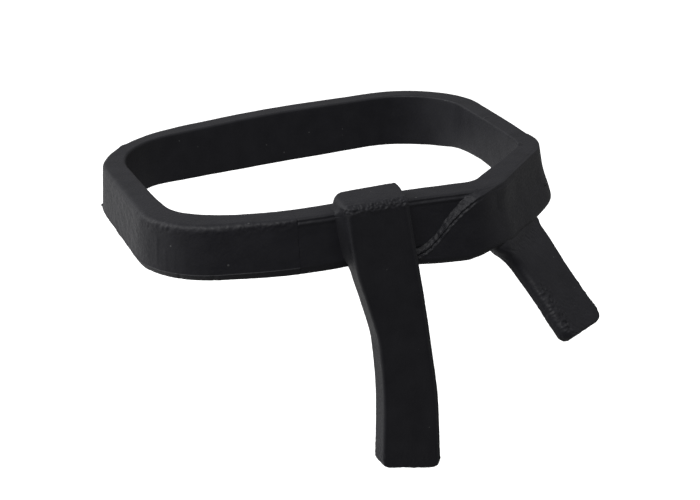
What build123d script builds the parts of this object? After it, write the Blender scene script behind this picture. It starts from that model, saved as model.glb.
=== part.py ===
from build123d import *
from math import cos, radians, sin
import os

# Miniature martial arts belt moulded in soft black rubber, tied round the waist of a one-sixth scale figure.
# Millimetres. +Z is up, -Y is the wearer's front. The origin is the centre of the waist opening, half way up
# the band.

# Band round the waist
BAND_HEIGHT = 6.6
BAND_THICKNESS = 2.7
BAND_TOP = BAND_HEIGHT / 2
BAND_BOTTOM = -BAND_HEIGHT / 2
BAND_EDGE_ROUND = 0.4

# Corners of the waist opening as x, y and corner radius, from the front round by the wearer's right side
FRONT_INNER_Y = -17.9
WAIST_CORNERS = [
    (-13.0, FRONT_INNER_Y, 30.0),
    (-25.2, -14.0, 6.5),
    (-24.0, 15.3, 11.0),
    (0.0, 19.6, 60.0),
    (25.2, 19.4, 8.5),
    (22.5, -8.6, 6.0),
    (10.0, -19.2, 4.0),
    (1.0, FRONT_INNER_Y, 20.0),
]
FRONT_OUTER_Y = FRONT_INNER_Y - BAND_THICKNESS

# Where the two ends of the inner layer meet the long strap, at the front and on the wearer's left side
SEAM_X = -12.8
SEAM_DEPTH_Y = -8.0
SIDE_SEAM_X = 14.0
SIDE_SEAM_Y = -5.0

# Outer layer of the wrap, over the front corner on the wearer's left
WRAP_THICKNESS = 1.4
WRAP_BOTTOM = -4.5
WRAP_LIP = 0.15
FOLD_START = (0.3, -3.1)
FOLD_END = (8.7, BAND_TOP)

# The outer layer thins out on the side: the line its outside is cut back to, from above
FEATHER_EDGE = [(25.5, SIDE_SEAM_Y), (25.9, -11.0)]

# Where its outside leans back at the corner: a point of the waist opening and the way the face looks
WRAP_LEANS = [((18.0, -12.4), -49.7), ((21.8, -8.6), -34.0), ((22.8, -5.6), -12.0)]

# Knot strap and the tail that hangs from it. The strap leans towards the wearer's left as it goes down.
STRAP_PROUD = 2.6
KNOT_RISE = 1.3
KNOT_ROUND = 1.0
KNOT_BOTTOM = -3.55
LEAN_TOP_X = -5.45
LEAN_SLOPE = -0.22
KNOT_TOP_SHIFT = 1.4
STRAP_WIDTH = 6.8
FRONT_FACE_Y = FRONT_OUTER_Y - STRAP_PROUD
KNOT_TOP = BAND_TOP + KNOT_RISE
TAIL_LEFT_EDGE = [(-7.3, -3.5), (-6.3, -7.5), (-5.0, -13.0), (-4.65, -20.0), (-4.8, -28.6)]
TAIL_RIGHT_EDGE = [(3.0, -30.2), (2.65, -21.0), (1.9, -15.0), (0.9, -8.9), (-0.1, -3.5)]
TAIL_CORNER_ROUND = 1.1

# Short tail that comes out under the outer layer and flares outward. Its neck is a part of the way down.
SIDE_TAIL_THICKNESS = 1.6
SIDE_TAIL_LENGTH = 13.4
SIDE_ROOT_WIDTH = 9.8
SIDE_TAIL_WIDTH = 7.1
SIDE_TAIL_NECK = 0.35
SIDE_ROOT = (15.46, -18.77)
SIDE_ROOT_HEADING = 40.3
SIDE_END_HEADING = 27.0
SIDE_FLARE = 45.0

# Clearance between the rounded root of a tail and what it hangs from
ROOT_GAP = 0.15
TALL = 40.0


def band_outline(grow):
    """Face inside the waist opening, grown outwards by a distance."""
    points = [(x, y) for x, y, corner_radius in WAIST_CORNERS]
    radii = [corner_radius for x, y, corner_radius in WAIST_CORNERS]
    opening = make_face(FilletPolyline(*points, radius=radii, close=True))
    return offset(opening, amount=grow, kind=Kind.ARC) if grow else opening


def layer(inner, outer, bottom, top):
    """Ring that follows the waist between two distances from the opening and two heights."""
    ring = extrude(band_outline(outer), amount=top - bottom) - extrude(band_outline(inner), amount=top - bottom)
    return Pos(0, 0, bottom) * ring


def plan_block(*points):
    """Tall block over an outline drawn from above."""
    return Pos(0, 0, -TALL) * extrude(make_face(Polyline(*points, close=True)), amount=2 * TALL)


def front_block(*points):
    """Deep block behind an outline drawn from the front as x and z."""
    face = make_face(Polyline(*[(x, 0, z) for x, z in points], close=True))
    return extrude(face, amount=TALL, dir=(0, 1, 0), both=True)


def rounded_band():
    """The whole band with its four long edges rounded."""
    band = layer(0, BAND_THICKNESS, BAND_BOTTOM, BAND_TOP)
    rims = band.faces().filter_by(Axis.Z).edges()
    return fillet(rims, BAND_EDGE_ROUND)


def front_window():
    """Block over the stretch of band between the two seams, across the front."""
    return plan_block(
        (SEAM_X, -TALL),
        (SEAM_X, SEAM_DEPTH_Y),
        (SIDE_SEAM_X, SIDE_SEAM_Y),
        (TALL, SIDE_SEAM_Y),
        (TALL, -TALL),
    )


def waist_band():
    """Long strap: from the seam round the right side, the back and the left side."""
    return rounded_band() - front_window()


def inner_wrap():
    """Short inner layer: behind the knot and under the outer layer."""
    return rounded_band() & front_window()


def strap_edge(side, z):
    """X of the knot strap's left (-1) or right (1) edge at a height."""
    return LEAN_TOP_X + LEAN_SLOPE * (z - KNOT_TOP) + side * STRAP_WIDTH / 2


def leaning_block(point, bearing):
    """Space inside a face that stands a lip off the band at its top and a whole layer off it at the bottom."""
    outward = Vector(cos(radians(bearing)), sin(radians(bearing)), 0)
    slope = (WRAP_THICKNESS - WRAP_LIP) / (BAND_TOP - WRAP_BOTTOM)
    top_point = Vector(*point, BAND_TOP) + outward * (BAND_THICKNESS + WRAP_LIP)
    face = Plane(origin=top_point, z_dir=(outward + Vector(0, 0, slope)).normalized())
    return face * Pos(0, 0, -TALL) * Box(4 * TALL, 4 * TALL, 2 * TALL)


def outer_wrap():
    """Outer layer: its upper edge is the diagonal fold, and it feathers out on the side."""
    reach = BAND_THICKNESS + WRAP_THICKNESS
    full = layer(BAND_THICKNESS, reach, WRAP_BOTTOM, BAND_TOP)
    end_x = strap_edge(1, WRAP_BOTTOM) + 2 * ROOT_GAP
    below_fold = front_block(
        (end_x, -TALL),
        (end_x, FOLD_START[1]),
        FOLD_START,
        FOLD_END,
        (FOLD_END[0], TALL),
        (TALL, TALL),
        (TALL, -TALL),
    )
    seam_point, corner_point = FEATHER_EDGE
    feather = plan_block(
        (-TALL, SIDE_SEAM_Y),
        seam_point,
        corner_point,
        (corner_point[0], -TALL),
        (-TALL, -TALL),
    )
    wrap = full & below_fold & feather
    for point, bearing in WRAP_LEANS:
        wrap = wrap & leaning_block(point, bearing)
    return wrap


def side_profile(*points):
    """Block along X over an outline drawn from the side as y and z."""
    face = make_face(Polyline(*[(0, y, z) for y, z in points], close=True))
    return extrude(face, amount=TALL, dir=(1, 0, 0), both=True)


def knot_loop():
    """Strap folded over the band's top edge, down to where the long tail starts."""
    left_x = strap_edge(-1, KNOT_TOP)
    right_x = strap_edge(1, KNOT_TOP)
    front = front_block(
        (strap_edge(-1, KNOT_BOTTOM), KNOT_BOTTOM),
        (left_x, KNOT_TOP),
        (right_x, KNOT_TOP),
        (strap_edge(1, KNOT_BOTTOM), KNOT_BOTTOM),
    )
    front = front & side_profile(
        (FRONT_FACE_Y, KNOT_BOTTOM),
        (FRONT_FACE_Y, KNOT_TOP),
        (FRONT_OUTER_Y, KNOT_TOP),
        (FRONT_OUTER_Y, KNOT_BOTTOM),
    )
    over = plan_block(
        (left_x, FRONT_FACE_Y),
        (right_x, FRONT_FACE_Y),
        (right_x + KNOT_TOP_SHIFT, FRONT_INNER_Y),
        (left_x + KNOT_TOP_SHIFT, FRONT_INNER_Y),
    )
    over = over & side_profile(
        (FRONT_FACE_Y, BAND_TOP),
        (FRONT_FACE_Y, KNOT_TOP),
        (FRONT_INNER_Y, KNOT_TOP),
        (FRONT_INNER_Y, BAND_TOP),
    )
    strap = front + over
    front_top = strap.edges().filter_by(Axis.X).sort_by(Axis.Y)[:2].sort_by(Axis.Z)[-1]
    return fillet(front_top, KNOT_ROUND)


def front_tail():
    """Long tail: a strap in the plane of the knot's front, with a round root that rolls under the knot."""
    left = Spline(*[(x, 0, z) for x, z in TAIL_LEFT_EDGE])
    right = Spline(*[(x, 0, z) for x, z in TAIL_RIGHT_EDGE])
    outline = make_face(left + Line(left @ 1, right @ 0) + right + Line(right @ 1, left @ 0))
    strap = Pos(0, FRONT_FACE_Y, 0) * extrude(outline, amount=STRAP_PROUD, dir=(0, 1, 0))
    end_edges = strap.edges().filter_by(Axis.Y).sort_by(Axis.Z)[:2]
    strap = fillet(end_edges, TAIL_CORNER_ROUND)
    radius = STRAP_PROUD / 2
    pivot_z = KNOT_BOTTOM - ROOT_GAP - radius
    pivot_y = FRONT_FACE_Y + radius
    shank = Pos(0, pivot_y, pivot_z - TALL / 2) * Box(2 * TALL, STRAP_PROUD, TALL)
    roll = Pos(0, pivot_y, pivot_z) * Rot(0, 90, 0) * Cylinder(radius, 2 * TALL)
    return strap & (shank + roll)


def heading(angle):
    """Level unit vector along the wearer's front turned to the left by an angle."""
    return Vector(cos(radians(angle)), sin(radians(angle)), 0)


def side_section(distance, across, width):
    """Cross-section of the short tail, as a plane at a distance down its length."""
    outward = Vector(across.Y, -across.X, 0)
    down = outward * sin(radians(SIDE_FLARE)) - Vector(0, 0, 1) * cos(radians(SIDE_FLARE))
    root = Vector(*SIDE_ROOT, WRAP_BOTTOM - ROOT_GAP - SIDE_TAIL_THICKNESS / 2)
    place = Plane(origin=root + down * distance, x_dir=across, z_dir=down)
    return place * Rectangle(width, SIDE_TAIL_THICKNESS)


def side_tail():
    """Short tail: twists from the corner's heading to its own, with a round root under the outer layer."""
    root_across = heading(SIDE_ROOT_HEADING)
    end_across = heading(SIDE_END_HEADING)
    mid_across = heading((SIDE_ROOT_HEADING + 2 * SIDE_END_HEADING) / 3)
    strap = loft(
        [
            side_section(0, root_across, SIDE_ROOT_WIDTH),
            side_section(SIDE_TAIL_LENGTH * SIDE_TAIL_NECK, mid_across, SIDE_TAIL_WIDTH),
            side_section(SIDE_TAIL_LENGTH, end_across, SIDE_TAIL_WIDTH),
        ],
        ruled=True,
    )
    root = Vector(*SIDE_ROOT, WRAP_BOTTOM - ROOT_GAP - SIDE_TAIL_THICKNESS / 2)
    roll = Plane(origin=root, z_dir=root_across) * Cylinder(SIDE_TAIL_THICKNESS / 2, SIDE_ROOT_WIDTH)
    return strap + roll


PIECES = {
    "waist_band": waist_band,
    "inner_wrap": inner_wrap,
    "outer_wrap": outer_wrap,
    "knot_loop": knot_loop,
    "front_tail": front_tail,
    "side_tail": side_tail,
}

os.makedirs("parts", exist_ok=True)
for name, build in PIECES.items():
    export_step(build(), f"parts/{name}.step")
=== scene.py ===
import math

import bmesh
import bpy
import numpy as np
from mathutils import Matrix, Vector, noise


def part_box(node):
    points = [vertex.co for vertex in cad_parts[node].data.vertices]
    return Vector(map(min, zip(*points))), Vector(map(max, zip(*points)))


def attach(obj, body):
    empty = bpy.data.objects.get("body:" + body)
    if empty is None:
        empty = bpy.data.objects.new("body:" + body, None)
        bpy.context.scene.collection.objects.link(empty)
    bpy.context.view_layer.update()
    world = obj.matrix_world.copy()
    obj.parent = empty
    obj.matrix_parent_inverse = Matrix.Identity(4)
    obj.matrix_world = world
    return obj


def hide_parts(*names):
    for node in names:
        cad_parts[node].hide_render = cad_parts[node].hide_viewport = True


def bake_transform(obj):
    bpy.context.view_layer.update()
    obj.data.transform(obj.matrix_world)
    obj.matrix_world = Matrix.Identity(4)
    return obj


# A miniature martial arts belt moulded in soft black rubber, seen on a white studio floor.
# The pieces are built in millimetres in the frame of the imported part: +Z up, -Y the wearer's front, +X the
# wearer's left. The mesh builder turns them into metres. LEFT and RIGHT in the names are as seen from in
# front of the belt, so LEFT is on the wearer's right.

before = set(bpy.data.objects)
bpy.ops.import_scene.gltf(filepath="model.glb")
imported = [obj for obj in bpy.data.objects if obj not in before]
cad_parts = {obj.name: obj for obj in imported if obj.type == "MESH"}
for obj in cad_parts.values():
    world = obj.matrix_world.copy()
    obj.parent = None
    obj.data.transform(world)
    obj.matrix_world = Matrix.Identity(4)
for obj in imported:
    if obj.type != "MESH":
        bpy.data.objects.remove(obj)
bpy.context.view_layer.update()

MM = 0.001


def box_mm(node):
    """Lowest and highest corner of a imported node, in millimetres."""
    low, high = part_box(node)
    return low / MM, high / MM


BAND_LOW, BAND_HIGH = box_mm("waist_band")
KNOT_LOW, KNOT_HIGH = box_mm("knot_loop")

# Waist opening: the corners of its outline as x, y and corner radius, clockwise from above
FRONT_INNER_Y = -17.9
WAIST_CORNERS = [
    (-13.0, FRONT_INNER_Y, 30.0),
    (-25.2, -14.0, 6.5),
    (-24.0, 15.3, 11.0),
    (0.0, 19.6, 60.0),
    (25.2, 19.4, 8.5),
    (22.5, -8.6, 6.0),
    (10.0, -19.2, 4.0),
    (1.0, FRONT_INNER_Y, 20.0),
]

# Landmarks on the waist opening: the seams, where corners begin and where the wrap ends, each by its x or y
SEAM_X = -12.8
SIDE_SEAM_Y = -5.0
LEFT_CORNER_X = -24.3
REAR_LEFT_Y = 13.7
REAR_RIGHT_Y = 3.0
WRAP_CORNER_Y = -9.4
WRAP_END_X = -0.05

# Band
BAND_TOP = BAND_HIGH.z
BAND_BOTTOM = BAND_LOW.z
BAND_THICKNESS = 2.7
FRONT_OUTER_Y = FRONT_INNER_Y - BAND_THICKNESS
EDGE_ROUND = 0.42
INNER_ROUND = 0.3
DRAFT = 0.5
INNER_DRAFT = 0.35
BOTTOM_TAPER = 0.25
SEAM_ROUND = 0.035

# Parting line with the strip below it, which stands proud of the long strap
PARTING_Z = BAND_BOTTOM + 1.15
PARTING_LEDGE = 0.07
PARTING_DROP = 0.06
PARTING_ROUND = 0.03

# The moulding isn't even. At a distance round the waist from the front: how far the inner face stands in, how
# much thicker the band is, how round its upper outer edge is, and how much lower its bottom edge hangs.
INNER_SWELL = [(0, 0.75), (18, 0.65), (22.5, 1.15), (26.5, 0.8), (33, 0.25), (45, 0.1), (60, 0.0), (95, 0.0),
               (112, 0.0), (124, 0.3), (132, 0.5), (138, 0.8), (144, 0.85), (150, 0.75)]
OUTER_SWELL = [(0, 0.0), (16, 0.0), (26, 0.08), (46, 0.0), (49.5, -0.35), (53, -0.55), (56, -0.4),
               (59, 0.0), (63, 0.27), (100, 0.3), (106, 0.1), (114, 0.0), (120, -0.25), (130, -0.3),
               (138, 0.0), (150, 0.0)]
OUTER_ROUND = [(0, EDGE_ROUND), (12, EDGE_ROUND), (20, 0.7), (38, 0.7), (44, EDGE_ROUND),
               (150, EDGE_ROUND)]
BOTTOM_SAG = [(0, 0.05), (10, -0.12), (16, -0.2), (23, -0.35), (34, -0.3), (45, -0.25), (54, -0.45),
              (60, -0.1), (66, 0.15), (72, 0.4), (79, 0.5), (88, 0.4), (96, 0.6), (99.5, 0.45), (103, 0.0),
              (107, -0.5), (112, -0.75), (118, -0.4), (122, -0.1), (150, 0.05)]

# Outer layer of the wrap, with the diagonal fold as x and z of its crest
LAYER = 1.4
FOLD_CREST = [(-4.0, -3.5), (0.0, -3.25), (0.7, -2.95), (1.55, -2.55), (2.5, -1.9), (3.45, -1.0), (4.5, 0.2),
              (5.7, 1.3), (6.85, 2.2), (8.0, 2.85), (10.0, 3.2), (12.0, BAND_TOP)]

# How much the fold's upper side falls to its crest, and how far the crest stands out from the band. It stands
# further in at the corner, and again on the wearer's left side, and a little lower at the corner.
FLANK_RISE = 1.3
CREST_OUT = 0.95
CREST_IN_AT_CORNER = CREST_OUT + 0.12
CREST_IN_AT_SIDE = 0.2
CREST_DROP_AT_CORNER = 0.03

# Rounding of the layer: its crest, how much rounder that is on the fold, and its back's foot and top. The top
# stands this little above the band, so that the two faces don't coincide.
CREST_ROUND = 0.12
FOLD_ROUND = 0.14
WRAP_BACK_FOOT_ROUND = 0.15
WRAP_BACK_TOP_ROUND = 0.05
WRAP_LIP = 0.02

# The layer's back lies inside the band by this much, and by more at the corner
WRAP_SUNK = 0.5
WRAP_SUNK_MORE = 0.7

# Lower edge of the wrap at distances past the corner on the wearer's left: height, offset and rounding
WRAP_FOOT = [(-6, -3.3), (-3, -3.9), (0, -4.3), (4, -4.5), (12, -4.4), (15.4, -4.1), (16.4, -4.5),
             (17.6, -4.75), (24, -4.5)]
WRAP_FOOT_OFFSET = [(-6, 2.8), (-3, 3.6), (0, 4.55), (5, 4.35), (12, 4.0), (20, 4.1)]
WRAP_FOOT_ROUND = [(-6, 0.9), (0, 1.0), (16, 0.85)]

# Lines along the fold below its crest: distance down, width and height of a bead and a groove
HEM_BEAD = (0.58, 0.15, 0.07)
HEM_GROOVE = (0.28, 0.13, 0.11)

# Shallow hollow of the outer layer beyond the fold: depth, height of its middle and half its height
WRAP_HOLLOW = 0.25
WRAP_HOLLOW_Z = 0.3
WRAP_HOLLOW_HALF = 2.0

# Knot strap and long tail: edges as z and x
KNOT_TOP = KNOT_HIGH.z
KNOT_ROUND = 0.9
FRONT_FACE_Y = KNOT_LOW.y
LEFT_EDGE = [(KNOT_TOP, -8.65), (3.1, -8.5), (1.0, -8.25), (-1.5, -7.85), (-3.5, -7.45), (-7.5, -6.3),
             (-13.0, -4.95), (-20.0, -4.53), (-30.0, -4.8)]
RIGHT_EDGE = [(KNOT_TOP, -1.15), (2.7, -0.95), (0.8, -0.65), (-1.0, -0.35), (-3.5, 0.05), (-8.9, 0.95),
              (-15.0, 1.8), (-21.0, 2.55), (-30.0, 2.95)]

# How far the knot's edges move towards +X at its rear end
KNOT_LEFT_SHIFT = 0.4
KNOT_RIGHT_SHIFT = 1.0

# How far the knot's sides spread where they run into the band, over what height, and how fast it fades. Its
# share on the band's top, and the heights between which it comes in above the band's bottom.
KNOT_FOOT = 0.5
KNOT_FOOT_HEIGHT = 1.2
KNOT_FOOT_POWER = 1.5
KNOT_FOOT_ON_TOP = 0.7
KNOT_FOOT_SPAN = (-3.3, -1.8)

# The knot strap's back lies inside the band by this much, below its top and behind its front face, and the
# strap reaches a little past the inner face. Its upper side rises a little to the rear.
KNOT_SUNK = 0.35
KNOT_SUNK_Z = BAND_TOP - KNOT_SUNK
KNOT_PIVOT_Y = FRONT_OUTER_Y + KNOT_SUNK
KNOT_REAR_Y = FRONT_INNER_Y + 0.3
KNOT_RISE = 0.04

# Rows of the knot strap: distances from its rear end, then how many across its top and round its front edge.
# Their inner points move on by small steps, and the first rows of the front slant down inward, so that they
# don't cross the rows before them.
KNOT_REAR_ROWS = [0.0, 0.03, 0.08, 0.16, 0.28, 0.42, 0.6, 0.8, 1.0, 1.25, 1.5, 1.75, 2.0, 2.25]
KNOT_TOP_ROWS = 9
KNOT_EDGE_ROWS = 16
INNER_SHIFT = 0.02
INNER_DROP = 0.2
FRONT_GAP = 0.25
FRONT_SLANT = 0.6
FRONT_SLANT_SPAN = 1.5

# Rounding of the strap: corners at its rear end and at the tip, its edges there, and its long front left edge
REAR_CORNERS = (1.7, 0.4)
TIP_CORNERS = (0.75, 1.6)
END_ROUND = 0.4
BACK_ROUND = 0.3
RIGHT_ROUND = 0.25
KNOT_SHOULDER = 0.6
TAIL_SHOULDER = 0.4

# Fine bead of flash down the strap's right edge: distance in from the edge, width and height
STRAP_BEAD = (0.55, 0.12, 0.1)

# Tip of the long tail: how much lower its right corner is than its left one, the height of its middle, and
# how far down the rows begin to slant
TAIL_END_SLANT = 2.1
TAIL_END_MIDDLE = -29.65
TAIL_SLANT_FROM = 20.0

# Short tail: where it starts inside the wrap and how far in from there, the heading of its width and the lean
# of its face at the root and at the tip, in degrees, and its size
SIDE_ROOT = (15.46, -18.77)
SIDE_ROOT_Z = -2.6
SIDE_ROOT_IN = 0.3
SIDE_ROOT_HEADING = 40.3
SIDE_END_HEADING = 25.0
SIDE_ROOT_LEAN = 10.0
SIDE_FLARE = 45.0
SIDE_LENGTH = 15.65
SIDE_THICKNESS = 1.6
SIDE_TIP_CORNERS = (1.25, 1.6)

# Distances down the short tail over which it turns, flares outward, comes out of the wrap and unbends
SIDE_TURN = (1.5, 7.0)
SIDE_FLARE_SPAN = (0.8, 3.6)
SIDE_SUNK_SPAN = (0.0, 1.8)
CORNER_BEND_SPAN = (2.0, 6.5)

# How far each face of the short tail is drawn in at its root inside the wrap, and how round its edges are: at
# the tip, behind, and in front on its right and its left
SIDE_SUNK = 0.4
SIDE_END_ROUND = 0.3
SIDE_BACK_ROUND = 0.3
SIDE_RIGHT_ROUND = 0.25
SIDE_LEFT_ROUND = 0.85

# Edges of the short tail as distance down and distance across
SIDE_LEFT = [(0.0, -6.7), (1.0, -6.6), (2.0, -6.0), (3.0, -5.0), (4.0, -4.4), (5.0, -4.05), (6.0, -3.9),
             (7.5, -3.8), (10.0, -3.85), (12.0, -4.0), (13.5, -4.1), (16.0, -4.15)]
SIDE_RIGHT = [(0.0, 4.7), (1.0, 5.4), (2.0, 6.1), (3.0, 5.6), (4.0, 4.95), (5.0, 4.4), (6.0, 4.0),
              (8.0, 3.7), (12.0, 3.6), (16.0, 3.62)]

# The short tail's left end bends round the corner on to the front: by an angle, about a place across, and
# over this much to either side of it
CORNER_BEND = 38.0
CORNER_BEND_AT = -4.4
CORNER_BEND_HALF = 0.8

# Spacing of the mesh rows along the band, and where they come close together
STEP = 0.4
FINE_STEP = 0.14

# Uneven surface of the whole moulding: height and size of its waves, size of the grain and its least height
WAVE_HEIGHT = 0.022
WAVE_SIZE = 2.6
PEBBLE_SIZE = 0.3
LEAST_GRAIN = 0.014


def smooth(value, start, end):
    """0 before start, 1 after end, and an easy curve between them."""
    t = min(max((value - start) / (end - start), 0.0), 1.0)
    return t * t * (3 - 2 * t)


def bell(distance, width):
    """1 at no distance, falling to nothing over about two widths."""
    return math.exp(-(distance / width) ** 2)


def through(points, where):
    """Smooth curve through a list of (position, value), without overshoot."""
    points = sorted(points)
    places = [p for p, v in points]
    values = [v for p, v in points]
    where = min(max(where, places[0]), places[-1])
    slopes = [(values[i + 1] - values[i]) / (places[i + 1] - places[i]) for i in range(len(points) - 1)]
    tangents = [slopes[0]]
    for a, b in zip(slopes, slopes[1:]):
        tangents.append(0.0 if a * b <= 0 else 2 * a * b / (a + b))
    tangents.append(slopes[-1])
    i = max(k for k in range(len(slopes)) if places[k] <= where)
    span = places[i + 1] - places[i]
    t = (where - places[i]) / span
    rise = t * t * (3 - 2 * t)
    return (
        values[i] * (1 - rise)
        + values[i + 1] * rise
        + span * tangents[i] * t * (1 - t) ** 2
        - span * tangents[i + 1] * t * t * (1 - t)
    )


# ---- The path round the waist ----


def waist_segments():
    """Straights and arcs of the waist outline: distance so far, start, heading and curvature."""
    count = len(WAIST_CORNERS)
    arcs = []
    for index, (x, y, radius) in enumerate(WAIST_CORNERS):
        corner = np.array((x, y))
        way_in = corner - np.array(WAIST_CORNERS[index - 1][:2])
        way_out = np.array(WAIST_CORNERS[(index + 1) % count][:2]) - corner
        heading = math.atan2(way_in[1], way_in[0])
        turn = (math.atan2(way_out[1], way_out[0]) - heading + math.pi) % (2 * math.pi) - math.pi
        reach = radius * math.tan(abs(turn) / 2)
        entry = corner - way_in / np.linalg.norm(way_in) * reach
        leave = corner + way_out / np.linalg.norm(way_out) * reach
        arcs.append((entry, leave, heading, turn, radius))
    segments = []
    travelled = 0.0
    for index, (entry, leave, heading, turn, radius) in enumerate(arcs):
        start = arcs[index - 1][1]
        straight = float(np.linalg.norm(entry - start))
        segments.append((travelled, start, heading, 0.0))
        travelled += straight
        bend = radius * abs(turn)
        segments.append((travelled, entry, heading, turn / bend))
        travelled += bend
    return segments, travelled


WAIST, WAIST_LENGTH = waist_segments()


def along_waist(distance):
    """Point of the waist opening at a distance along it, and the outward direction there."""
    distance = distance % WAIST_LENGTH
    passed, start, heading, curvature = [s for s in WAIST if s[0] <= distance][-1]
    gone = distance - passed
    now = heading + curvature * gone
    if curvature:
        step = np.array((math.sin(now) - math.sin(heading), math.cos(heading) - math.cos(now))) / curvature
    else:
        step = np.array((math.cos(now), math.sin(now))) * gone
    return start + step, np.array((-math.sin(now), math.cos(now)))


def first_distance(begin, test):
    """First distance after begin where the point of the waist opening passes a test."""
    distance = begin
    while not test(along_waist(distance)[0]):
        distance += FINE_STEP / 10
    return distance


SEAM = first_distance(0.0, lambda p: p[0] < SEAM_X)
SIDE_SEAM = first_distance(WAIST_LENGTH / 2, lambda p: p[1] < SIDE_SEAM_Y)
LEFT_CORNER = first_distance(SEAM, lambda p: p[0] < LEFT_CORNER_X)
REAR_LEFT = first_distance(SEAM, lambda p: p[1] > REAR_LEFT_Y)
REAR_RIGHT = first_distance(WAIST_LENGTH / 2, lambda p: p[1] < REAR_RIGHT_Y)
WRAP_CORNER = first_distance(SIDE_SEAM, lambda p: p[1] < WRAP_CORNER_Y)
WRAP_END = first_distance(WRAP_CORNER, lambda p: p[0] < WRAP_END_X)


def stations(start, end, fine_spans=()):
    """Distances along the waist from start to end, close together where the relief is fine."""
    places = [start]
    while places[-1] < end:
        here = places[-1]
        fine = any(low <= here <= high for low, high in fine_spans)
        places.append(here + (FINE_STEP if fine else STEP))
    places[-1] = end
    return places


# ---- Cross-sections and meshes ----


def rounded_loop(corners, side_steps, arc_steps):
    """Closed outline through corners (x, y, radius), each rounded. Equal steps give equal counts."""
    count = len(corners)
    arcs = []
    for index, (x, y, radius) in enumerate(corners):
        corner = np.array((x, y), float)
        before = np.array(corners[index - 1][:2]) - corner
        after = np.array(corners[(index + 1) % count][:2]) - corner
        before = before / np.linalg.norm(before)
        after = after / np.linalg.norm(after)
        half = math.acos(float(np.clip(before @ after, -1, 1))) / 2
        middle = before + after
        centre = corner + middle / np.linalg.norm(middle) * radius / math.sin(half)
        first = corner + before * radius / math.tan(half) - centre
        last = corner + after * radius / math.tan(half) - centre
        swing = math.pi - 2 * half
        arcs.append([
            centre + (math.sin(swing * (1 - t)) * first + math.sin(swing * t) * last) / math.sin(swing)
            for t in np.linspace(0, 1, arc_steps + 1)
        ])
    loop = []
    for index, arc in enumerate(arcs):
        following = arcs[(index + 1) % count][0]
        loop.extend(arc)
        for t in np.linspace(0, 1, side_steps[index] + 1)[1:-1]:
            loop.append(arc[-1] * (1 - t) + following * t)
    return np.array(loop)


def drawn_in(section, inset):
    """Section with every side moved in towards its middle."""
    low, high = section.min(0), section.max(0)
    middle = (low + high) / 2
    return middle + (section - middle) * (1 - 2 * inset / (high - low))


def end_inset(distance, radius):
    """How far an edge of this radius has drawn in at a distance from the end of the piece."""
    left = max(radius - distance, 0.0)
    return radius - math.sqrt(radius * radius - left * left)


OCTAVE_SCALE = 2.17
OCTAVE_HEIGHT = 0.5


def lumps(point, size):
    """Uneven height from about -1 to 1, with lumps of a size and smaller ones on them."""
    place = Vector(point) / size
    return noise.noise(place) + OCTAVE_HEIGHT * noise.noise(place * OCTAVE_SCALE)


def tube_faces(rows, columns):
    """Faces of a tube of rows of points, with a face over each end."""
    faces = []
    for row in range(rows - 1):
        for column in range(columns):
            after = (column + 1) % columns
            faces.append((
                row * columns + column,
                row * columns + after,
                (row + 1) * columns + after,
                (row + 1) * columns + column,
            ))
    faces.append(tuple(range(columns)))
    faces.append(tuple(range((rows - 1) * columns, rows * columns)))
    return faces


def skin(name, loops, grain):
    """Closed tube through rows of points, roughened along its normals by a height in mm at each point."""
    mesh = bpy.data.meshes.new(name)
    mesh.from_pydata((loops.reshape(-1, 3) * MM).tolist(), [], tube_faces(*loops.shape[:2]))
    work = bmesh.new()
    work.from_mesh(mesh)
    bmesh.ops.recalc_face_normals(work, faces=work.faces)
    work.normal_update()
    for vertex, coarse in zip(work.verts, grain.reshape(-1)):
        place = vertex.co / MM
        height = WAVE_HEIGHT * lumps(place, WAVE_SIZE) + coarse * lumps(place, PEBBLE_SIZE)
        vertex.co += vertex.normal * (height * MM)
    for face in work.faces:
        face.smooth = True
    work.to_mesh(mesh)
    work.free()
    piece = bpy.data.objects.new(name, mesh)
    bpy.context.scene.collection.objects.link(piece)
    subdivision = piece.modifiers.new("subdivision", "SUBSURF")
    subdivision.levels = 1
    subdivision.render_levels = 1
    return piece


# ---- Band ----

# Steps along each side of the section, from its inner side round its top to the bottom, and round each corner
BAND_SIDES = [10, 14, 32, 1, 6, 6]
BAND_ARC = 4

# Scratches: place past the corner, height of the middle, half the length and height of the ridge
SCRATCHES = [
    (-2.4, -0.4, 0.9, 0.015),
    (-1.5, -0.9, 1.2, 0.02),
    (-0.75, -1.1, 1.4, 0.03),
    (-0.35, -0.9, 1.1, 0.02),
    (0.1, 0.1, 1.6, 0.06),
    (1.2, -0.3, 1.3, 0.02),
]
SCRATCH_WIDTH = 0.13

# Cuts across the strip below the parting line: places past the corner, depth and width
NICKS = [-1.9, -4.5]
NICK_DEPTH = 0.08
NICK_WIDTH = 0.12

# Marks on the band's upper face: height, distance round the waist, slant, length, offset from the inner face
# and width. They are the gate scar, its lip, a chip and a line of flash.
TOP_MARKS = [
    (-0.22, REAR_LEFT, 0.0, 0.55, 2.45, 0.22),
    (0.16, REAR_LEFT, 0.0, 0.65, 2.0, 0.2),
    (0.18, WRAP_CORNER - 0.4, 0.0, 0.3, 0.0, 0.3),
    (0.12, REAR_RIGHT, 0.5, 0.12, 0.3, 0.6),
]

# Below the upper outer edge of the front: distance down, width and height of a bead and a groove. To the
# right of the knot: x, lean, width and height of a line of flash.
LIP_BEAD = (0.62, 0.12, 0.1)
LIP_GROOVE = (0.38, 0.12, 0.12)
FRONT_FLASH = (0.7, 0.2, 0.14, 0.03)

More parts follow.
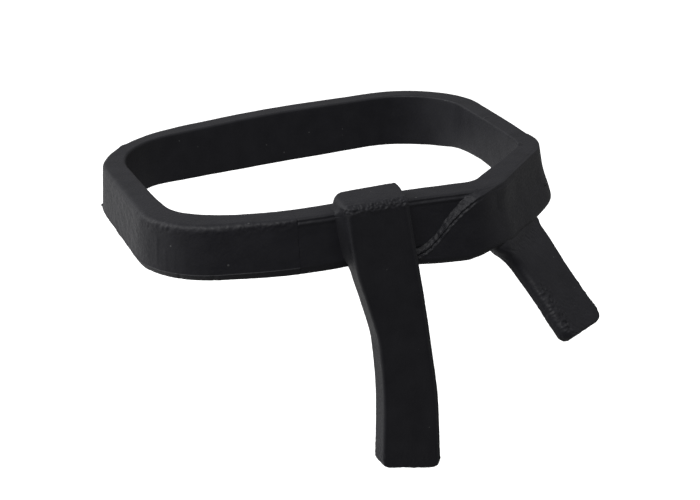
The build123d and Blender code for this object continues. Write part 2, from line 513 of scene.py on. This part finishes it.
# Coarse grain along the band's upper outer edge: height, distance down to its middle and width. It covers the
# corner and, less high, the front.
EDGE_GRAIN = 0.09
EDGE_GRAIN_DOWN = 0.45
EDGE_GRAIN_WIDTH = 0.6
EDGE_GRAIN_CORNER = (LEFT_CORNER + 2, LEFT_CORNER + 6)
EDGE_GRAIN_FRONT = (WRAP_CORNER + 8, WRAP_CORNER + 14)
FRONT_SHARE = 0.6

# Grain and uneven surface of the outer face on the wearer's right: heights, size and where they begin and end
SIDE_GRAIN = 0.035
SIDE_GRAIN_BEGINS = (LEFT_CORNER - 2, LEFT_CORNER + 3)
SIDE_GRAIN_ENDS = (44, 50)
MOTTLE_HEIGHT = 0.07
MOTTLE_SIZE = 1.1
MOTTLE_BEGINS = (LEFT_CORNER, LEFT_CORNER + 4)
MOTTLE_ENDS = (REAR_LEFT - 14, REAR_LEFT - 6)

# Stretches of the two straps with relief that needs close rows
BAND_FINE = [(SEAM, LEFT_CORNER + 3.5), (REAR_LEFT - 1.5, REAR_LEFT + 1.5), (REAR_RIGHT - 1, REAR_RIGHT + 1)]
INNER_WRAP_FINE = [(WRAP_CORNER - 1.5, WRAP_CORNER + 1)]

# Extra rows at distances from a seam, and the least gap to the next row
SEAM_ROWS = [0.0, 0.01, 0.025, 0.05, 0.1]
SEAM_GAP = 0.05


def band_section(distance, strip):
    """Section of the band as offset and height, with its lower strip proud by an amount."""
    inner = -through(INNER_SWELL, distance)
    outer = BAND_THICKNESS + through(OUTER_SWELL, distance)
    bottom = BAND_BOTTOM - through(BOTTOM_SAG, distance)
    lower = outer + DRAFT
    corners = [
        (inner - INNER_DRAFT, bottom, INNER_ROUND),
        (inner, BAND_TOP, INNER_ROUND),
        (outer, BAND_TOP, through(OUTER_ROUND, distance)),
        (lower, PARTING_Z, PARTING_ROUND),
        (lower + strip, PARTING_Z - PARTING_DROP, PARTING_ROUND),
        (lower - BOTTOM_TAPER, bottom, EDGE_ROUND),
    ]
    return rounded_loop(corners, BAND_SIDES, BAND_ARC)


def tool_marks(distance, height):
    """Upright scratches left by the mould on the outside of the wearer's right front corner."""
    ridge = 0.0
    for place, middle, half, deep in SCRATCHES:
        across = bell(distance - LEFT_CORNER - place, SCRATCH_WIDTH)
        ridge += deep * across * (1 - smooth(abs(height - middle), half - 0.5, half + 0.3))
    return ridge


def strip_nicks(distance, height):
    """Depth of the small cuts across the strip below the parting line."""
    below = 1 - smooth(height, PARTING_Z - 0.1, PARTING_Z + 0.1)
    return NICK_DEPTH * below * sum(bell(distance - LEFT_CORNER - place, NICK_WIDTH) for place in NICKS)


def left_mottle(distance, height):
    """Uneven surface of the outside on the wearer's right."""
    on_side = smooth(distance, *MOTTLE_BEGINS) * (1 - smooth(distance, *MOTTLE_ENDS))
    return MOTTLE_HEIGHT * on_side * lumps((distance, height, 0.0), MOTTLE_SIZE)


def waist_relief(distance, height):
    """Everything that marks the outside of the long strap."""
    return tool_marks(distance, height) - strip_nicks(distance, height) + left_mottle(distance, height)


def line_height(line, distance):
    """Height of a fine line, given as place, width and height, at a distance."""
    place, width, high = line
    return high * bell(distance - place, width)


def lip_line(distance, height):
    """Fine bead and groove below the upper outer edge of the front, and a line of flash beside the knot."""
    flash_x, lean, width, high = FRONT_FLASH
    x = along_waist(distance)[0][0]
    down = BAND_TOP - height
    lip = line_height(LIP_BEAD, down) - line_height(LIP_GROOVE, down)
    return lip + high * bell(x - flash_x + lean * height, width)


def top_marks(distance, offset, height):
    """Small marks on the band's upper face."""
    above = smooth(height, BAND_TOP - 0.5, BAND_TOP - 0.1)
    round_waist = distance % WAIST_LENGTH
    marks = 0.0
    for high, place, slant, long, middle, wide in TOP_MARKS:
        marks += high * bell(round_waist - place + slant * offset, long) * bell(offset - middle, wide)
    return above * marks


def edge_grain(distance, offset, height):
    """Height of the grain on the band: coarse near its upper outer edge and on the wearer's right."""
    near = bell(math.hypot(offset - BAND_THICKNESS, height - BAND_TOP + EDGE_GRAIN_DOWN), EDGE_GRAIN_WIDTH)
    corner = 1 - smooth(distance, *EDGE_GRAIN_CORNER)
    front = FRONT_SHARE * smooth(distance, *EDGE_GRAIN_FRONT)
    left_side = smooth(distance, *SIDE_GRAIN_BEGINS) * (1 - smooth(distance, *SIDE_GRAIN_ENDS))
    face = smooth(offset, BAND_THICKNESS - 0.1, BAND_THICKNESS + 0.1)
    return LEAST_GRAIN + EDGE_GRAIN * near * max(corner, front) + SIDE_GRAIN * face * left_side


def ring_piece(name, places, strip, relief):
    """Length of band between two seams. Its ends are drawn in a little, so the seams show as fine lines."""
    loops, grain = [], []
    for distance in places:
        point, outward = along_waist(distance)
        from_end = min(distance - places[0], places[-1] - distance)
        section = drawn_in(band_section(distance % WAIST_LENGTH, strip), end_inset(from_end, SEAM_ROUND))
        row, rough = [], []
        for offset, height in section:
            face = smooth(offset, BAND_THICKNESS - 0.4, BAND_THICKNESS)
            out = offset + face * relief(distance, height)
            row.append((*(point + outward * out), height + top_marks(distance, offset, height)))
            rough.append(edge_grain(distance, offset, height))
        loops.append(row)
        grain.append(rough)
    return skin(name, np.array(loops), np.array(grain))


def with_ends(places):
    """Rows with extra ones close to both ends."""
    first = [places[0] + d for d in SEAM_ROWS]
    last = [places[-1] - d for d in reversed(SEAM_ROWS)]
    inside = [p for p in places if first[-1] + SEAM_GAP < p < last[0] - SEAM_GAP]
    return first + inside + last


def waist_band():
    """Long strap of the band, round both sides and the back."""
    places = with_ends(stations(SEAM, SIDE_SEAM, BAND_FINE))
    return ring_piece("waist_band_strap", places, PARTING_LEDGE, waist_relief)


def inner_wrap():
    """Short inner layer, behind the knot and under the outer layer."""
    places = with_ends(stations(SIDE_SEAM, WAIST_LENGTH + SEAM, INNER_WRAP_FINE))
    return ring_piece("inner_wrap_strap", places, 0.0, lip_line)


# ---- Outer layer of the wrap ----

# Steps along the back, top, outside and underside of the section, and round each corner
WRAP_SIDES = [8, 14, 56, 6]
WRAP_ARC = 6

# Where the layer goes from the flat front into the corner by x, and on into the side by y, where the fold
# fades out by x, and the stretch with close rows
WRAP_CORNER_XS = (7.2, 12.5)
WRAP_SIDE_YS = (-10.5, SIDE_SEAM_Y + 0.2)
FOLD_XS = (7.0, 11.0)
WRAP_FINE = [(WRAP_CORNER + 8, WRAP_END)]

# Grain on the fold, and how far below the crest it fades out
FOLD_GRAIN = 0.12
FOLD_GRAIN_SPAN = (0.35, 0.9)


def wrap_section(distance, folded):
    """Section of the outer layer as offset and height, and the height of its crest."""
    point, outward = along_waist(distance)
    x = point[0] + outward[0] * (BAND_THICKNESS + LAYER)
    side = smooth(point[1], *WRAP_SIDE_YS)
    corner = smooth(x, *WRAP_CORNER_XS)
    crest_z = through(FOLD_CREST, x) - CREST_DROP_AT_CORNER * corner
    crest = BAND_THICKNESS + CREST_OUT - CREST_IN_AT_CORNER * corner - CREST_IN_AT_SIDE * side
    inner = BAND_THICKNESS - WRAP_SUNK - WRAP_SUNK_MORE * corner
    past_corner = distance - WRAP_CORNER
    foot = through(WRAP_FOOT_OFFSET, past_corner)
    foot_z = through(WRAP_FOOT, past_corner)
    corners = [
        (inner, foot_z, WRAP_BACK_FOOT_ROUND),
        (inner, min(crest_z + FLANK_RISE * folded, BAND_TOP + WRAP_LIP), WRAP_BACK_TOP_ROUND),
        (crest, crest_z, CREST_ROUND + FOLD_ROUND * folded),
        (foot, foot_z, through(WRAP_FOOT_ROUND, past_corner)),
    ]
    return rounded_loop(corners, WRAP_SIDES, WRAP_ARC), crest_z


def outer_wrap():
    """Outer layer with its diagonal fold. It thins out into the band on the wearer's left side."""
    loops, grain = [], []
    for distance in stations(SIDE_SEAM, WRAP_END, WRAP_FINE):
        point, outward = along_waist(distance)
        folded = 1 - smooth(point[0], *FOLD_XS)
        section, crest_z = wrap_section(distance, folded)
        row, rough = [], []
        for offset, height in section:
            outside = smooth(offset, BAND_THICKNESS + 0.2, BAND_THICKNESS + 0.9)
            below = crest_z - height
            hem = line_height(HEM_BEAD, below) - line_height(HEM_GROOVE, below)
            hollow = WRAP_HOLLOW * (1 - folded) * bell(height - WRAP_HOLLOW_Z, WRAP_HOLLOW_HALF)
            hollow *= smooth(offset, BAND_THICKNESS - 0.4, BAND_THICKNESS)
            row.append((*(point + outward * (offset + folded * outside * hem - hollow)), height))
            rough.append(LEAST_GRAIN + FOLD_GRAIN * folded * (1 - smooth(below, *FOLD_GRAIN_SPAN)))
        loops.append(row)
        grain.append(rough)
    return skin("outer_wrap_layer", np.array(loops), np.array(grain))


# ---- Knot strap and long tail ----

# Steps along the back, right, front and left of the section, and round each corner
STRAP_SIDES = [54, 20, 54, 20]
STRAP_ARC = 5

# Grain on the knot's front top edge: height, how far in and down from the edge its middle lies, and its
# width. At the tip of the tail: height and the depths over which it comes in.
CREST_GRAIN = 0.17
CREST_GRAIN_IN = 0.35
CREST_GRAIN_DOWN = 0.4
CREST_GRAIN_WIDTH = 0.75
TIP_GRAIN = 0.05
TIP_GRAIN_SPAN = (24.0, 29.0)

# Spacing of the rows down the tail and near its tip, and the last rows by distance to the tip
TAIL_STEP = 0.2
TIP_STEP = 0.1
TIP_SPAN = 1.6
TIP_ROWS = [0.06, 0.03, 0.0]


def strap_loop(edges, thickness, shoulder):
    """Flat strap's section: across from edge to edge, and out from 0 to the thickness."""
    left, right = edges
    corners = [
        (left, 0.0, BACK_ROUND),
        (right, 0.0, BACK_ROUND),
        (right, thickness, RIGHT_ROUND),
        (left, thickness, shoulder),
    ]
    return rounded_loop(corners, STRAP_SIDES, STRAP_ARC)


def knot_foot(height, surface):
    """How far the knot's sides spread where they run into the band's surface below them."""
    clear = max(height - surface, -0.3) / KNOT_FOOT_HEIGHT
    return KNOT_FOOT * max(1 - clear, 0.0) ** KNOT_FOOT_POWER


def knot_over_top():
    """Rows over the band's top, from the rear edge: inner point, outer point and distance from the end."""
    corner_y = FRONT_FACE_Y + KNOT_ROUND
    corner_z = KNOT_TOP - KNOT_ROUND
    rows = []
    for distance in KNOT_REAR_ROWS:
        y = KNOT_REAR_Y - distance
        rows.append(((y, KNOT_SUNK_Z), (y, KNOT_TOP + KNOT_RISE), distance))
    for t in np.linspace(0, 1, KNOT_TOP_ROWS):
        inner = (KNOT_PIVOT_Y - INNER_SHIFT * t, KNOT_SUNK_Z - INNER_SHIFT * t)
        y = KNOT_PIVOT_Y + (corner_y - KNOT_PIVOT_Y) * t
        rows.append((inner, (y, KNOT_TOP + KNOT_RISE * (1 - t)), KNOT_REAR_Y - y))
    for t in np.linspace(0, 1, KNOT_EDGE_ROWS + 1)[1:]:
        a = t * math.pi / 2
        inner = (KNOT_PIVOT_Y - INNER_SHIFT * (1 + t), KNOT_SUNK_Z - INNER_SHIFT - INNER_DROP * t)
        outer = (corner_y - KNOT_ROUND * math.sin(a), corner_z + KNOT_ROUND * math.cos(a))
        rows.append((inner, outer, KNOT_REAR_Y - corner_y))
    return rows


def tail_down():
    """Rows down the knot's front and the tail: inner point, outer point and distance from the tip."""
    start = KNOT_TOP - KNOT_ROUND - FRONT_GAP
    height = start
    rows = []
    while height > TAIL_END_MIDDLE:
        to_end = height - TAIL_END_MIDDLE
        back_y = FRONT_OUTER_Y + KNOT_SUNK * smooth(height, BAND_BOTTOM - 0.5, BAND_BOTTOM)
        slant = FRONT_SLANT * (1 - smooth(start - height, 0, FRONT_SLANT_SPAN))
        rows.append(((back_y, height - slant), (FRONT_FACE_Y, height), to_end))
        height -= TAIL_STEP if to_end > TIP_SPAN else TIP_STEP
    for to_end in TIP_ROWS:
        height = TAIL_END_MIDDLE + to_end
        rows.append(((FRONT_OUTER_Y, height), (FRONT_FACE_Y, height), to_end))
    return rows


def strap_edges(outer_y, outer_z, distance, top):
    """Left and right edge of the strap at a row, before and after its corners are rounded."""
    rearward = smooth(outer_y, FRONT_FACE_Y, FRONT_INNER_Y) if top else 0.0
    left = through(LEFT_EDGE, outer_z) + rearward * KNOT_LEFT_SHIFT
    right = through(RIGHT_EDGE, outer_z) + rearward * KNOT_RIGHT_SHIFT
    left_corner, right_corner = REAR_CORNERS if top else TIP_CORNERS
    return (left, right), (left + end_inset(distance, left_corner), right - end_inset(distance, right_corner))


def strap_row(inner, outer, distance, top):
    """Points and grain of one row of the strap, from its inner and outer point, on the band's top or not."""
    outer_y, outer_z = outer
    (left, right), edges = strap_edges(outer_y, outer_z, distance, top)
    on_band = KNOT_FOOT_ON_TOP if top else smooth(outer_z, *KNOT_FOOT_SPAN)
    surface = KNOT_SUNK
    if not top:
        surface += DRAFT * smooth(BAND_TOP - outer_z, 0.0, BAND_TOP - PARTING_Z)
    edge_round = end_inset(distance, END_ROUND)
    inner = np.array(inner)
    thickness = math.hypot(*(np.array(outer) - inner))
    shoulder = KNOT_SHOULDER
    if not top:
        shoulder += (TAIL_SHOULDER - KNOT_SHOULDER) * smooth(-outer_z, -KNOT_TOP, 0)
    across = strap_loop(edges, thickness - edge_round * (1 if top else 2), min(shoulder, 0.45 * thickness))
    out = (np.array(outer) - inner) / thickness
    base = inner if top else inner + out * edge_round
    middle_x = (left + right) / 2
    slant = TAIL_END_SLANT * smooth(-outer_z, TAIL_SLANT_FROM, -TAIL_END_MIDDLE) / (right - left)
    row, rough = [], []
    for x, w in across:
        y, z = base + out * w
        bead = line_height(STRAP_BEAD, right - x) * smooth(w, 0.7 * thickness, 0.9 * thickness)
        spread = 1 + on_band * knot_foot(w, surface) / (right - middle_x)
        row.append((middle_x + (x - middle_x) * spread, y - bead, z - slant * (x - middle_x)))
        from_crest = math.hypot(y - FRONT_FACE_Y - CREST_GRAIN_IN, z - KNOT_TOP + CREST_GRAIN_DOWN)
        tip = TIP_GRAIN * smooth(-z, *TIP_GRAIN_SPAN)
        rough.append(LEAST_GRAIN + CREST_GRAIN * bell(from_crest, CREST_GRAIN_WIDTH) + tip)
    return row, rough


def knot_and_tail():
    """The strap folded over the band's top edge and its hanging end, moulded as one."""
    rows = [strap_row(*place, True) for place in knot_over_top()]
    rows += [strap_row(*place, False) for place in tail_down()]
    loops = np.array([row for row, rough in rows])
    grain = np.array([rough for row, rough in rows])
    return skin("knot_and_tail", loops, grain)


# ---- Short tail ----

# Steps along the back, right, front and left of the section
SHORT_SIDES = [64, 12, 64, 12]

# Rows are half a step apart down to here, and close together below it
SIDE_COARSE_TO = 6.5

# Grain on the outer left edge: height, distance in from the edge, width and where it comes in. Round the
# root: distance down, width and height. Towards the tip: height and where it comes in.
SIDE_EDGE_GRAIN = 0.24
SIDE_EDGE_GRAIN_IN = 1.0
SIDE_EDGE_GRAIN_WIDTH = 0.7
SIDE_EDGE_GRAIN_SPAN = (7.5, 9.5)
SIDE_ROOT_GRAIN = (2.8, 0.9, 0.08)
SIDE_TIP_GRAIN = 0.06
SIDE_TIP_GRAIN_SPAN = (8.0, 12.0)


def level(angle):
    """Level unit vector at an angle from +X."""
    return np.array((math.cos(math.radians(angle)), math.sin(math.radians(angle)), 0.0))


def short_tail_line():
    """Rows down the short tail: centre, heading across, lean, distance down and distance to the tip."""
    across = level(SIDE_ROOT_HEADING)
    centre = np.array((*SIDE_ROOT, SIDE_ROOT_Z)) - SIDE_ROOT_IN * np.array((across[1], -across[0], 0.0))
    rows = []
    gone = 0.0
    while gone < SIDE_LENGTH - 0.005:
        to_end = SIDE_LENGTH - gone
        heading = SIDE_ROOT_HEADING + (SIDE_END_HEADING - SIDE_ROOT_HEADING) * smooth(gone, *SIDE_TURN)
        flare = SIDE_ROOT_LEAN + (SIDE_FLARE - SIDE_ROOT_LEAN) * smooth(gone, *SIDE_FLARE_SPAN)
        lean = math.radians(flare)
        rows.append((centre.copy(), heading, lean, gone, to_end))
        step = min(STEP / 2 if gone < SIDE_COARSE_TO else FINE_STEP, max(to_end * 0.6, 0.01))
        across = level(heading)
        down = np.array((across[1] * math.sin(lean), -across[0] * math.sin(lean), -math.cos(lean)))
        centre = centre + down * step
        gone += step
    return rows


def short_tail_point(centre, heading, lean, bend, u, w):
    """Point of the short tail across by u and out by w. The left end bends round by an angle."""
    bent = heading - bend * smooth(-u, -CORNER_BEND_AT - CORNER_BEND_HALF, -CORNER_BEND_AT + CORNER_BEND_HALF)
    base = centre + level(heading) * max(u, CORNER_BEND_AT) + level(bent) * min(u - CORNER_BEND_AT, 0.0)
    across = level(bent)
    return base + w * np.array((across[1] * math.cos(lean), -across[0] * math.cos(lean), math.sin(lean)))


def short_tail_grain(gone, from_edge):
    """Height of the grain at a distance down the short tail and from the grainy line at its left edge."""
    edge = SIDE_EDGE_GRAIN * bell(from_edge, SIDE_EDGE_GRAIN_WIDTH) * smooth(gone, *SIDE_EDGE_GRAIN_SPAN)
    tip = SIDE_TIP_GRAIN * smooth(gone, *SIDE_TIP_GRAIN_SPAN)
    return LEAST_GRAIN + edge + line_height(SIDE_ROOT_GRAIN, gone) + tip


def short_tail():
    """Short tail that comes out under the outer layer at the corner and flares outward."""
    left_corner, right_corner = SIDE_TIP_CORNERS
    loops, grain = [], []
    for centre, heading, lean, gone, to_end in short_tail_line():
        left = through(SIDE_LEFT, gone) + end_inset(to_end, left_corner)
        right = through(SIDE_RIGHT, gone) - end_inset(to_end, right_corner)
        sunk = SIDE_SUNK * (1 - smooth(gone, *SIDE_SUNK_SPAN))
        half_thick = SIDE_THICKNESS / 2 - sunk - end_inset(to_end, SIDE_END_ROUND)
        bend = CORNER_BEND * (1 - smooth(gone, *CORNER_BEND_SPAN))
        corners = [
            (left, -half_thick, SIDE_BACK_ROUND),
            (right, -half_thick, SIDE_BACK_ROUND),
            (right, half_thick, SIDE_RIGHT_ROUND),
            (left, half_thick, min(SIDE_LEFT_ROUND, 1.05 * half_thick)),
        ]
        row, rough = [], []
        for u, w in rounded_loop(corners, SHORT_SIDES, STRAP_ARC):
            row.append(short_tail_point(centre, heading, lean, bend, u, w))
            from_edge = math.hypot(u - left - SIDE_EDGE_GRAIN_IN, w - half_thick)
            rough.append(short_tail_grain(gone, from_edge))
        loops.append(row)
        grain.append(rough)
    return skin("short_tail", np.array(loops), np.array(grain))


# ---- Flash left on the parting line ----

# A nub's half length and half height, and its rings as distance out and share of that size
NUB_HALF_LENGTH = 0.38
NUB_HALF_HEIGHT = 0.16
NUB_RINGS = [(-0.5, 1.0), (0.0, 1.0), (0.08, 0.85), (0.15, 0.55), (0.19, 0.2)]
NUB_SIDES = 12


def flash_nub(name, distance, offset, height):
    """Tiny tab of flash that stands out from the band."""
    point, outward = along_waist(distance)
    forward = np.array((outward[1], -outward[0]))
    loops = []
    for reach, size in NUB_RINGS:
        middle = point + outward * (offset + reach)
        loop = []
        for angle in np.linspace(0, 2 * math.pi, NUB_SIDES, endpoint=False):
            sideways = forward * NUB_HALF_LENGTH * size * math.cos(angle)
            loop.append((*(middle + sideways), height + NUB_HALF_HEIGHT * size * math.sin(angle)))
        loops.append(loop)
    return skin(name, np.array(loops), np.zeros((len(NUB_RINGS), NUB_SIDES)))


# ---- Materials ----

# Black rubber: its two shades, sizes of the clouds and the grain in metres, roughness, gloss and depths of
# the bumps in metres. Specks of dust lie in some cells of a pattern: their shade, the cells' size in metres,
# the value from which a cell has a speck, and the largest speck as a share of its cell.
RUBBER_DARK = (0.0078, 0.0078, 0.0104)
RUBBER_PALE = (0.0116, 0.0116, 0.0146)
CLOUD_SIZE = 0.0024
CLOUD_DETAIL = 3
GRAIN_SIZE = 0.00022
GRAIN_DETAIL = 2
RUBBER_ROUGHNESS = (0.5, 0.66)
RUBBER_SPECULAR = 0.25
CLOUD_DEPTH = 0.00006
GRAIN_DEPTH = 0.00002
DUST = (0.05, 0.05, 0.052)
DUST_CELL = 0.0013
DUSTY_FROM = 0.75
DUST_SPECK = 0.1

FLOOR_WHITE = (0.95, 0.95, 0.95)
FLOOR_ROUGHNESS = 0.9
FLOOR_GLOW = 0.4


def new_material(name):
    """Empty node material with its Principled shader wired to the output."""
    material = bpy.data.materials.new(name)
    material.use_nodes = True
    nodes = material.node_tree.nodes
    nodes.clear()
    output = nodes.new("ShaderNodeOutputMaterial")
    shader = nodes.new("ShaderNodeBsdfPrincipled")
    material.node_tree.links.new(shader.outputs["BSDF"], output.inputs["Surface"])
    return material, nodes, material.node_tree.links, shader


def noise_node(nodes, links, coordinates, size, detail):
    """Noise texture with features of a size in metres."""
    texture = nodes.new("ShaderNodeTexNoise")
    texture.inputs["Scale"].default_value = 1 / size
    texture.inputs["Detail"].default_value = detail
    links.new(coordinates, texture.inputs["Vector"])
    return texture.outputs["Fac"]


def ramp_node(nodes, links, factor, stops):
    """Colour ramp with two stops of (position, colour)."""
    ramp = nodes.new("ShaderNodeValToRGB")
    for element, (position, colour) in zip(ramp.color_ramp.elements, stops):
        element.position = position
        element.color = (*colour, 1)
    links.new(factor, ramp.inputs["Fac"])
    return ramp.outputs["Color"]


def range_node(nodes, links, value, source, target):
    """Value mapped from one range to another."""
    spread = nodes.new("ShaderNodeMapRange")
    spread.inputs["From Min"].default_value = source[0]
    spread.inputs["From Max"].default_value = source[1]
    spread.inputs["To Min"].default_value = target[0]
    spread.inputs["To Max"].default_value = target[1]
    links.new(value, spread.inputs["Value"])
    return spread.outputs["Result"]


def bump_node(nodes, links, height, depth, under=None):
    """Bump of a depth in metres, on top of another one."""
    bump = nodes.new("ShaderNodeBump")
    bump.inputs["Strength"].default_value = 1.0
    bump.inputs["Distance"].default_value = depth
    links.new(height, bump.inputs["Height"])
    if under:
        links.new(under, bump.inputs["Normal"])
    return bump.outputs["Normal"]


def dusted(nodes, links, place, colour):
    """Colour with a few specks of dust on it, in cells picked by their own value."""
    cells = nodes.new("ShaderNodeTexVoronoi")
    cells.inputs["Scale"].default_value = 1 / DUST_CELL
    links.new(place, cells.inputs["Vector"])
    pick = nodes.new("ShaderNodeSeparateColor")
    links.new(cells.outputs["Color"], pick.inputs["Color"])
    limit = range_node(nodes, links, pick.outputs["Red"], (DUSTY_FROM, 1.0), (0.0, DUST_SPECK))
    speck = nodes.new("ShaderNodeMath")
    speck.operation = "LESS_THAN"
    links.new(cells.outputs["Distance"], speck.inputs[0])
    links.new(limit, speck.inputs[1])
    dusty = nodes.new("ShaderNodeMix")
    dusty.data_type = "RGBA"
    dusty.inputs["B"].default_value = (*DUST, 1)
    links.new(speck.outputs["Value"], dusty.inputs["Factor"])
    links.new(colour, dusty.inputs["A"])
    return dusty.outputs["Result"]


def black_rubber():
    """Matt black soft rubber: near black and a little uneven, with a fine moulded grain and a little dust."""
    material, nodes, links, shader = new_material("black_rubber")
    place = nodes.new("ShaderNodeTexCoord").outputs["Object"]
    cloud = noise_node(nodes, links, place, CLOUD_SIZE, CLOUD_DETAIL)
    grain = noise_node(nodes, links, place, GRAIN_SIZE, GRAIN_DETAIL)
    colour = ramp_node(nodes, links, cloud, [(0.3, RUBBER_DARK), (0.7, RUBBER_PALE)])
    links.new(dusted(nodes, links, place, colour), shader.inputs["Base Color"])
    roughness = range_node(nodes, links, grain, (0.3, 0.7), RUBBER_ROUGHNESS)
    links.new(roughness, shader.inputs["Roughness"])
    shader.inputs["Specular IOR Level"].default_value = RUBBER_SPECULAR
    pits = bump_node(nodes, links, cloud, CLOUD_DEPTH)
    fine = bump_node(nodes, links, grain, GRAIN_DEPTH, pits)
    links.new(fine, shader.inputs["Normal"])
    return material


def floor_paint():
    """Plain matt white that glows a little, so that it stays white out to the edges of the picture."""
    material, nodes, links, shader = new_material("studio_white")
    shader.inputs["Base Color"].default_value = (*FLOOR_WHITE, 1)
    shader.inputs["Roughness"].default_value = FLOOR_ROUGHNESS
    shader.inputs["Emission Color"].default_value = (1.0, 1.0, 1.0, 1)
    shader.inputs["Emission Strength"].default_value = FLOOR_GLOW
    return material


# ---- Studio ----

FLOOR_Z = -0.055
FLOOR_HALF = 4.0

# Square soft lights: place, side in metres and power in watts
KEY_LIGHT = ((-0.5, 0.25, 0.4), 0.4, 2.9)
FILL_LIGHT = ((-0.25, -0.3, 0.6), 0.35, 3.8)

# Surroundings: a direction and how bright they are on that side
WORLD_GLOWS = [
    ((0.1, -0.7, 0.7), 0.1),
    ((-0.7, 0.7, -0.4), 0.88),
    ((1, 0, 0.1), 0.38),
    ((0, 0, 1), 0.24),
    ((0, 0, -1), 0.28),
    ((-0.5, 0.85, 0.25), 0.16),
]

# Camera: where it stands, the way it looks, how far it is rolled and its lens
CAMERA_PLACE = Vector((-0.06294, -0.14248, 0.05285))
CAMERA_AZIMUTH = -24.56
CAMERA_ELEVATION = 22.0
CAMERA_ROLL = -1.47
LENS = 67.23


def studio_floor():
    """Large level sheet below the belt."""
    mesh = bpy.data.meshes.new("studio_floor")
    h = FLOOR_HALF
    corners = [(-h, -h, FLOOR_Z), (h, -h, FLOOR_Z), (h, h, FLOOR_Z), (-h, h, FLOOR_Z)]
    mesh.from_pydata(corners, [], [(0, 1, 2, 3)])
    floor = bpy.data.objects.new("studio_floor", mesh)
    bpy.context.scene.collection.objects.link(floor)
    floor.data.materials.append(floor_paint())
    floor.visible_glossy = False
    floor.visible_diffuse = False
    floor.visible_shadow = False


def soft_light(name, place, size, power):
    """Square soft light aimed at the belt."""
    data = bpy.data.lights.new(name, "AREA")
    data.size = size
    data.energy = power
    light = bpy.data.objects.new(name, data)
    bpy.context.scene.collection.objects.link(light)
    light.location = place
    light.rotation_euler = (-Vector(place)).to_track_quat("-Z", "Y").to_euler()


def world_glow(nodes, links, direction, towards, strength):
    """Soft brightness of the surroundings on the side that lies towards a direction."""
    aligned = nodes.new("ShaderNodeVectorMath")
    aligned.operation = "DOT_PRODUCT"
    aligned.inputs[1].default_value = Vector(towards).normalized()
    links.new(direction, aligned.inputs[0])
    spread = nodes.new("ShaderNodeMapRange")
    spread.interpolation_type = "SMOOTHSTEP"
    spread.inputs["To Max"].default_value = strength
    links.new(aligned.outputs["Value"], spread.inputs["Value"])
    return spread.outputs["Result"]


def studio_world():
    """Soft surroundings: brightest behind the belt on the wearer's right, and dimmer on the other sides."""
    world = bpy.data.worlds.new("studio_world")
    bpy.context.scene.world = world
    world.use_nodes = True
    nodes = world.node_tree.nodes
    nodes.clear()
    links = world.node_tree.links
    output = nodes.new("ShaderNodeOutputWorld")
    background = nodes.new("ShaderNodeBackground")
    links.new(background.outputs["Background"], output.inputs["Surface"])
    direction = nodes.new("ShaderNodeTexCoord").outputs["Generated"]
    total = None
    for towards, strength in WORLD_GLOWS:
        glow = world_glow(nodes, links, direction, towards, strength)
        if total:
            both = nodes.new("ShaderNodeMath")
            both.operation = "ADD"
            links.new(total, both.inputs[0])
            links.new(glow, both.inputs[1])
            glow = both.outputs["Value"]
        total = glow
    links.new(total, background.inputs["Strength"])


def belt_camera():
    """Camera at the wearer's right front, a little above the belt."""
    azimuth = math.radians(CAMERA_AZIMUTH)
    elevation = math.radians(CAMERA_ELEVATION)
    back = Vector((
        math.sin(azimuth) * math.cos(elevation),
        -math.cos(azimuth) * math.cos(elevation),
        math.sin(elevation),
    ))
    right = Vector((math.cos(azimuth), math.sin(azimuth), 0))
    up = back.cross(right)
    turn = Matrix((right, up, back)).transposed() @ Matrix.Rotation(math.radians(CAMERA_ROLL), 3, "Z")
    data = bpy.data.cameras.new("camera")
    data.lens = LENS
    data.clip_start = 0.001
    camera = bpy.data.objects.new("camera", data)
    bpy.context.scene.collection.objects.link(camera)
    camera.matrix_world = Matrix.Translation(CAMERA_PLACE) @ turn.to_4x4()
    bpy.context.scene.camera = camera


# ---- Put the scene together ----

# Flash nubs: distance round the waist, offset from the inner face and height
LEFT_NUB = (LEFT_CORNER + 21.2, BAND_THICKNESS + DRAFT, PARTING_Z)
RIGHT_NUB = (WRAP_CORNER + 0.6, BAND_THICKNESS + 0.95, -1.3)

RUBBER = black_rubber()


def dress(piece, *nodes):
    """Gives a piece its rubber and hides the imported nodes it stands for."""
    piece.data.materials.append(RUBBER)
    if nodes:
        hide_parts(*nodes)
    return piece


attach(dress(waist_band(), "waist_band"), "waist")
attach(dress(inner_wrap(), "inner_wrap"), "waist")
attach(dress(outer_wrap(), "outer_wrap"), "waist")
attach(dress(flash_nub("flash_nub_left", *LEFT_NUB)), "waist")
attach(dress(flash_nub("flash_nub_right", *RIGHT_NUB)), "waist")

long_strap = dress(knot_and_tail(), "knot_loop", "front_tail")
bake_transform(long_strap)

short_strap = dress(short_tail(), "side_tail")
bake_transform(short_strap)

studio_floor()
studio_world()
soft_light("key", *KEY_LIGHT)
soft_light("fill", *FILL_LIGHT)
belt_camera()
bpy.context.scene.view_settings.view_transform = "Standard"

bpy.context.view_layer.update()
